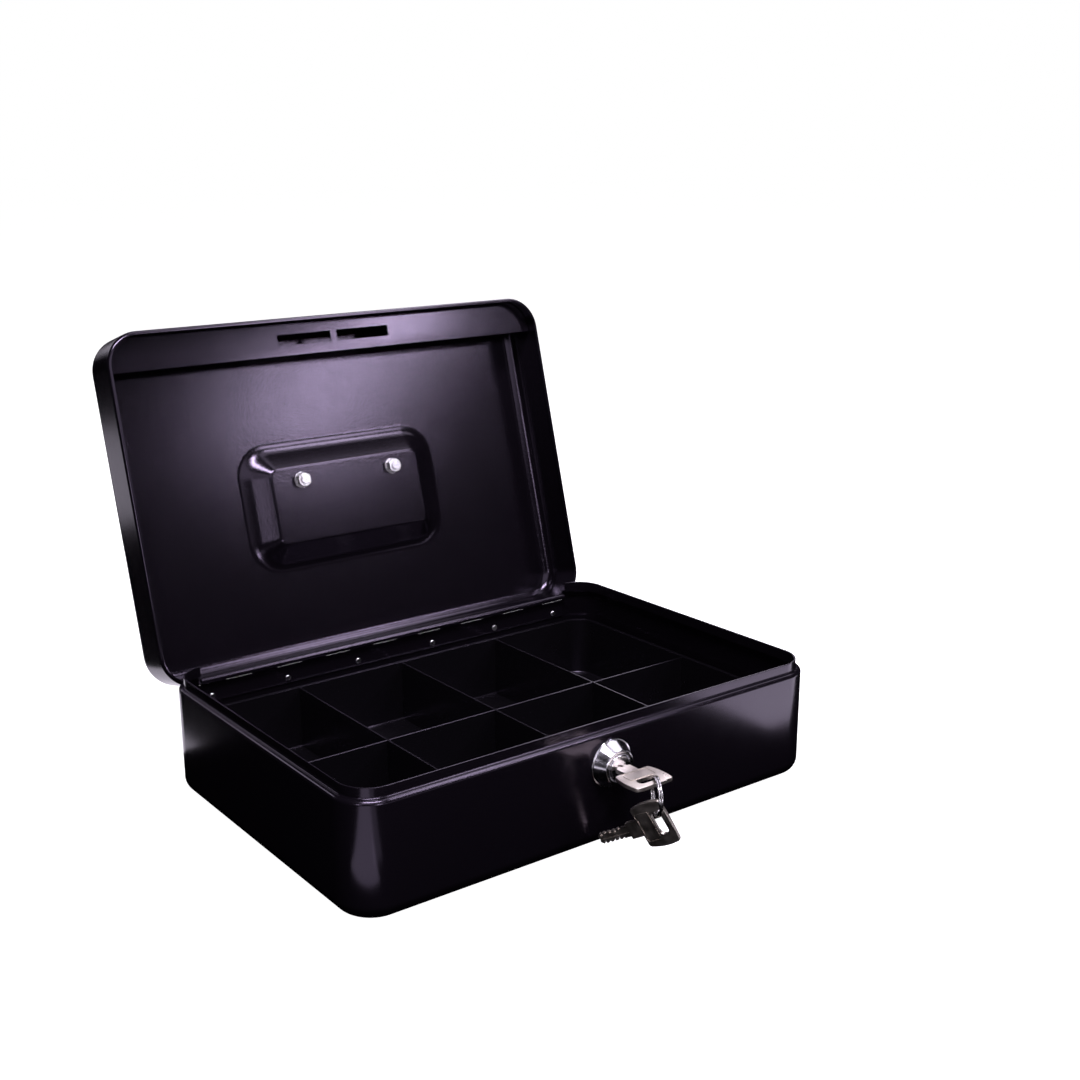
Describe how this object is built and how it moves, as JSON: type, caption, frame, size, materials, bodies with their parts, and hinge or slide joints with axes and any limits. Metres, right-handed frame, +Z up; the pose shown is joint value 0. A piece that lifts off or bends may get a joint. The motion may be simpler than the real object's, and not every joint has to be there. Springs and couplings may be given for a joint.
{
  "type": "cash box",
  "caption": "Black sheet-steel cash box with hinged lid, sunken carrying handle, lift-out coin tray, front key lock with latch claw and a spare key on a split ring.",
  "frame": {"origin": "centre of the base's flat underside, on the surface it stands on", "axes": "+X along the width to the right seen from the lock side, +Y from the lock towards the hinge, +Z up"},
  "size_m": [0.3, 0.3305, 0.2491],
  "materials": {
    "black_paint": "satin powder coat",
    "black_tray": "matte",
    "chrome": "polished",
    "zinc": "bright zinc",
    "steel": "plain",
    "nickel": "satin nickel",
    "brass": "plain"
  },
  "bodies": {
    "base": {"base_shell": "black_paint", "hinge_leaf_base": "black_paint", "hinge_pin": "steel", "hinge_studs_base": "zinc", "lock_housing": "chrome", "lock_nut": "zinc"},
    "lid": {"lid_shell": "black_paint", "strike_strip": "black_paint", "hinge_leaf_lid": "black_paint", "hinge_studs_lid": "zinc", "handle_post_left": "chrome", "handle_post_right": "chrome", "handle_washers": "zinc", "handle_nuts": "zinc"},
    "handle": {"handle_bail": "chrome"},
    "tray": {"tray_shell": "black_tray", "divider_long": "black_tray", "divider_cross_left": "black_tray", "divider_cross_middle": "black_tray", "divider_cross_right": "black_tray"},
    "plug": {"lock_plug": "chrome", "lock_wafers": "brass", "latch_claw": "zinc", "claw_screw": "zinc"},
    "key": {"key_in_lock": "nickel"},
    "ring": {"split_ring": "steel"},
    "spare": {"spare_key": "nickel"}
  },
  "joints": [
    {"name": "lid_hinge", "type": "hinge", "parent": "base", "child": "lid", "pos_m": [0, 0.09885, 0.0575], "axis": [-1, 0, 0], "range_deg": [-105.25, 0]},
    {"name": "handle_swing", "type": "hinge", "parent": "lid", "child": "handle", "pos_m": [0, 0.16119, 0.14814], "axis": [1, 0, 0], "range_deg": [-23, 154]},
    {"name": "tray_lift", "type": "slide", "parent": "base", "child": "tray", "axis": [0, 0, 1], "range_m": [0, 0.06]},
    {"name": "lock_turn", "type": "hinge", "parent": "base", "child": "plug", "pos_m": [0, -0.1, 0.0442], "axis": [0, 1, 0], "range_deg": [0, 180]},
    {"name": "key_slide", "type": "slide", "parent": "plug", "child": "key", "axis": [0, -1, 0], "range_m": [0, 0.03]},
    {"name": "ring_slip", "type": "hinge", "parent": "key", "child": "ring", "pos_m": [0.00055, -0.135, 0.03803], "axis": [0.8669, -0.4985, 0], "range_deg": [-12, 6]},
    {"name": "spare_swing", "type": "hinge", "parent": "ring", "child": "spare", "pos_m": [0.00055, -0.135, 0.02863], "axis": [0.4985, 0.8669, 0], "range_deg": [-7, 24]}
  ]
}
